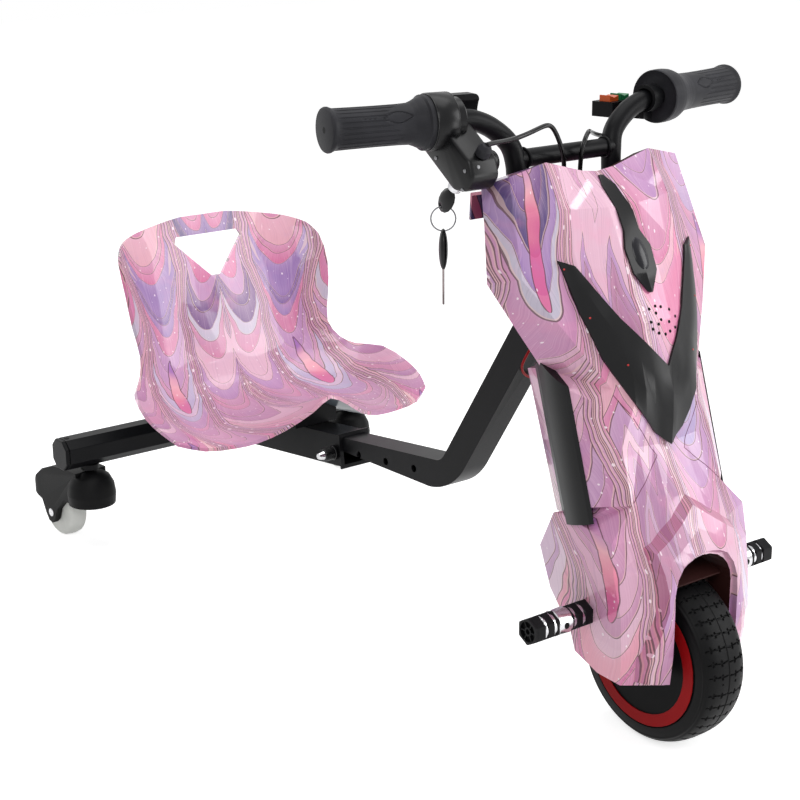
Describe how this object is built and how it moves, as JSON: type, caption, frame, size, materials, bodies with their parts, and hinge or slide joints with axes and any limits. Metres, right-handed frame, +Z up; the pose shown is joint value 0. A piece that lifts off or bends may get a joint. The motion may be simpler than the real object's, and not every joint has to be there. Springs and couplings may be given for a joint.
{
  "type": "tricycle drifter scooter",
  "caption": "Low electric drift trike: printed bucket seat on an adjustable beam between caster wheels, a driven front wheel in a faceted fairing, handlebar and foot pegs.",
  "frame": {"origin": "middle of the footprint on the ground, below the middle of the overall box", "axes": "+X forwards, from the seat to the front wheel; +Y to the rider's left; +Z up"},
  "size_m": [1.1184, 0.5902, 0.703],
  "materials": {
    "frame_steel": "satin black powder coat",
    "black_plastic": "fine-grained black moulding",
    "printed_shell": "pink, violet and pale blue print under a gloss coat",
    "dark_liner": "dark red-brown",
    "tyre_rubber": "matt black tread",
    "black_rubber": "matt black",
    "motor_black": "smooth satin black",
    "red_plastic": "deep red gloss",
    "bright_steel": "polished",
    "zinc_steel": "zinc plated",
    "white_nylon": "off-white nylon",
    "green_plastic": "green moulding",
    "orange_plastic": "orange-red moulding",
    "battery_sleeve": "blue shrink sleeve"
  },
  "bodies": {
    "frame": {"main_beam": "frame_steel", "head_tube": "frame_steel", "head_bearing_lower": "zinc_steel", "head_bearing_upper": "zinc_steel", "power_lead": "red_plastic"},
    "carriage": {"adjust_socket": "frame_steel", "lock_boss": "frame_steel", "lock_bolt": "bright_steel", "rear_cross_tube": "frame_steel", "end_cap_right": "black_plastic", "end_cap_left": "black_plastic", "seat_shell": "printed_shell", "seat_bracket_front": "frame_steel", "seat_bracket_rear": "frame_steel", "caster_stem_right": "zinc_steel", "caster_stem_left": "zinc_steel"},
    "caster_right": {"caster_hood_right": "black_plastic", "caster_pin_right": "zinc_steel"},
    "caster_left": {"caster_hood_left": "black_plastic", "caster_pin_left": "zinc_steel"},
    "rear_wheel_right": {"caster_wheel_right": "white_nylon"},
    "rear_wheel_left": {"caster_wheel_left": "white_nylon"},
    "steering": {"hub_axle": "zinc_steel", "axle_nut_right": "zinc_steel", "axle_nut_left": "zinc_steel", "front_fork": "frame_steel", "arch_liner": "dark_liner", "steering_column": "frame_steel", "stem_nut": "zinc_steel", "handlebar": "frame_steel", "front_fairing": "printed_shell", "back_cover": "printed_shell", "top_lid": "printed_shell", "blade_trim": "black_plastic", "spear_trim": "black_plastic", "side_bar_right": "black_plastic", "side_bar_left": "black_plastic", "foot_peg_right": "bright_steel", "foot_peg_left": "bright_steel", "battery_pack": "battery_sleeve", "speaker": "black_plastic", "left_grip": "black_rubber", "throttle_housing": "black_plastic", "display_box": "black_plastic", "cable_gland": "black_rubber", "cable_grommet": "black_rubber", "throttle_cable": "black_rubber", "switch_cable": "black_rubber", "switch_box": "black_plastic"},
    "front_wheel": {"tyre": "tyre_rubber", "hub_motor": "motor_black", "hub_ring_right": "red_plastic", "hub_ring_left": "red_plastic"},
    "throttle": {"throttle_grip": "black_rubber"},
    "key": {"lock_barrel": "bright_steel", "ignition_key": "black_plastic"},
    "key_set": {"key_ring": "bright_steel", "spare_key": "black_plastic"},
    "orange_switch": {"rocker_orange": "orange_plastic"},
    "green_switch": {"rocker_green": "green_plastic"}
  },
  "joints": [
    {"name": "wheelbase_slide", "type": "slide", "parent": "frame", "child": "carriage", "axis": [0.9941, 0, 0.1089], "range_m": [-0.055, 0.11]},
    {"name": "caster_swivel_right", "type": "hinge", "parent": "carriage", "child": "caster_right", "pos_m": [-0.43576, -0.224, 0.05], "axis": [0, 0, 1], "continuous": true},
    {"name": "caster_swivel_left", "type": "hinge", "parent": "carriage", "child": "caster_left", "pos_m": [-0.43576, 0.224, 0.05], "axis": [0, 0, 1], "continuous": true},
    {"name": "caster_spin_right", "type": "hinge", "parent": "caster_right", "child": "rear_wheel_right", "pos_m": [-0.50746, -0.2303, 0.0375], "axis": [-0.0872, 0.9962, 0], "continuous": true},
    {"name": "caster_spin_left", "type": "hinge", "parent": "caster_left", "child": "rear_wheel_left", "pos_m": [-0.50156, 0.2533, 0.0375], "axis": [0.4067, 0.9135, 0], "continuous": true},
    {"name": "steering_turn", "type": "hinge", "parent": "frame", "child": "steering", "pos_m": [0.46024, 0, 0.099], "axis": [-0.3338, 0, 0.9426], "range_deg": [-35, 35]},
    {"name": "front_wheel_spin", "type": "hinge", "parent": "steering", "child": "front_wheel", "pos_m": [0.46024, 0, 0.099], "axis": [0, 1, 0], "continuous": true},
    {"name": "throttle_twist", "type": "hinge", "parent": "steering", "child": "throttle", "pos_m": [0.25324, -0.291, 0.673], "axis": [-0.1942, -0.981, 0], "range_deg": [0, 60], "stiffness_Nm_per_rad": 0.4, "springref_deg": -14.32},
    {"name": "key_turn", "type": "hinge", "parent": "steering", "child": "key", "pos_m": [0.30232, -0.1606, 0.61069], "axis": [0.6691, 0, 0.7431], "range_deg": [0, 90]},
    {"name": "key_set_swing", "type": "hinge", "parent": "key", "child": "key_set", "pos_m": [0.27983, -0.1606, 0.58571], "axis": [-0.6091, -0.7931, 0], "range_deg": [-25, 25]},
    {"name": "orange_switch_rock", "type": "hinge", "parent": "steering", "child": "orange_switch", "pos_m": [0.2394, 0.1139, 0.667], "axis": [0.981, 0.1942, 0], "range_deg": [-8, 8]},
    {"name": "green_switch_rock", "type": "hinge", "parent": "steering", "child": "green_switch", "pos_m": [0.2353, 0.1345, 0.667], "axis": [0.981, 0.1942, 0], "range_deg": [-8, 8]}
  ]
}
